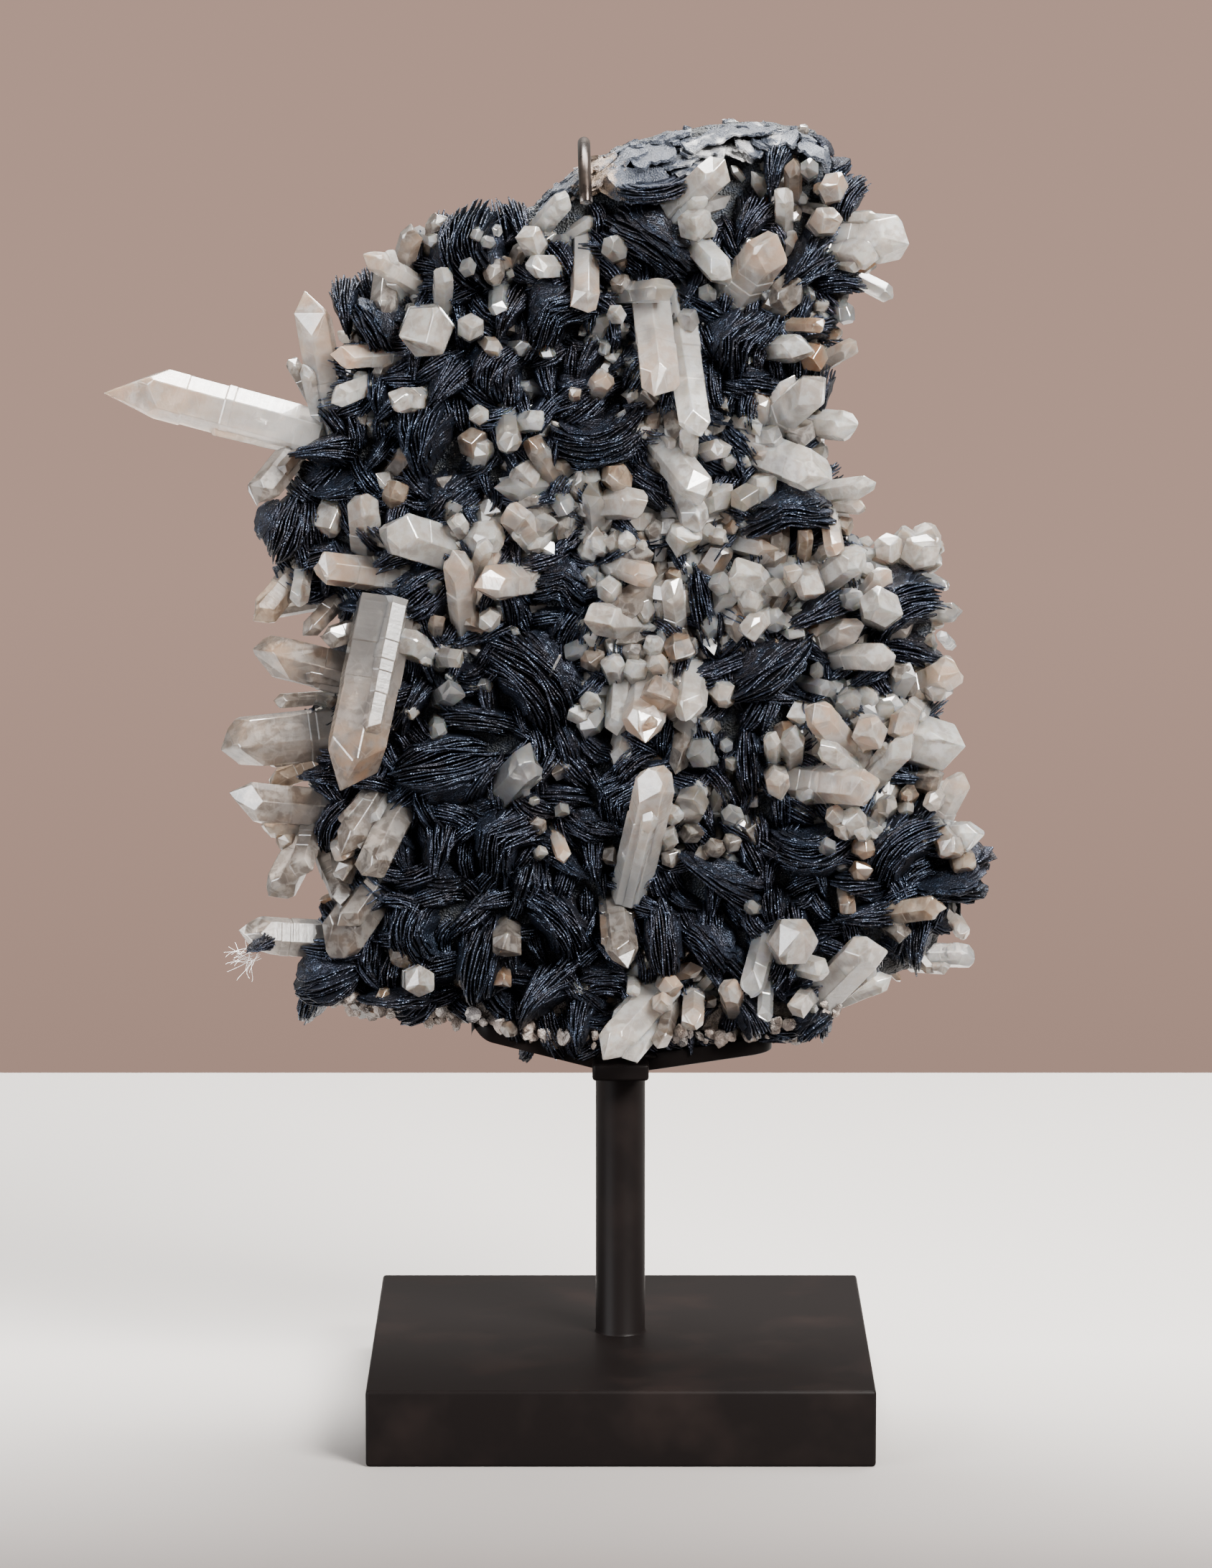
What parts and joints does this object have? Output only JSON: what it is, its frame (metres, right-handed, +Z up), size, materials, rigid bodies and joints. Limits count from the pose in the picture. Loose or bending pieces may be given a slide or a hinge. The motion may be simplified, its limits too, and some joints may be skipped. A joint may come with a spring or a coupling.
{
  "type": "quartz and hematite crystal cluster on a display stand",
  "caption": "Upright plate of quartz crystals with hematite roses, resting in a flat-bar cradle on a post and block base, with a wire hook over its top.",
  "frame": {"origin": "centre of the base's underside", "axes": "+Z up, +X to the right and -Y towards the viewer when the crystals are faced"},
  "size_m": [0.2207, 0.127, 0.3311],
  "materials": {
    "stand_paint": "satin black paint, lightly dusty and scuffed",
    "hook_wire": "dark brown lacquered wire with one bare grey cut end",
    "quartz": "milky, clear and smoky quartz with glassy faces, iron stains and earthy rock between",
    "hematite": "blue-black specular hematite plates with a metallic glint"
  },
  "bodies": {
    "root": {"stand_base": "stand_paint", "stand_post": "stand_paint", "stand_cradle": "stand_paint", "stand_hook": "hook_wire", "quartz_plate": "quartz", "hematite_rose_1": "hematite", "hematite_rose_2": "hematite", "hematite_rose_3": "hematite", "hematite_rose_4": "hematite", "hematite_rose_5": "hematite", "hematite_rose_6": "hematite", "hematite_rose_7": "hematite", "hematite_rose_8": "hematite", "hematite_rose_9": "hematite", "hematite_rose_10": "hematite", "hematite_rose_11": "hematite", "hematite_rose_12": "hematite", "hematite_rose_13": "hematite", "hematite_rose_14": "hematite", "hematite_rose_15": "hematite", "hematite_rose_16": "hematite", "hematite_rose_17": "hematite", "hematite_rose_18": "hematite", "hematite_rose_19": "hematite", "hematite_rose_20": "hematite", "hematite_rose_21": "hematite", "hematite_rose_22": "hematite"}
  },
  "joints": []
}
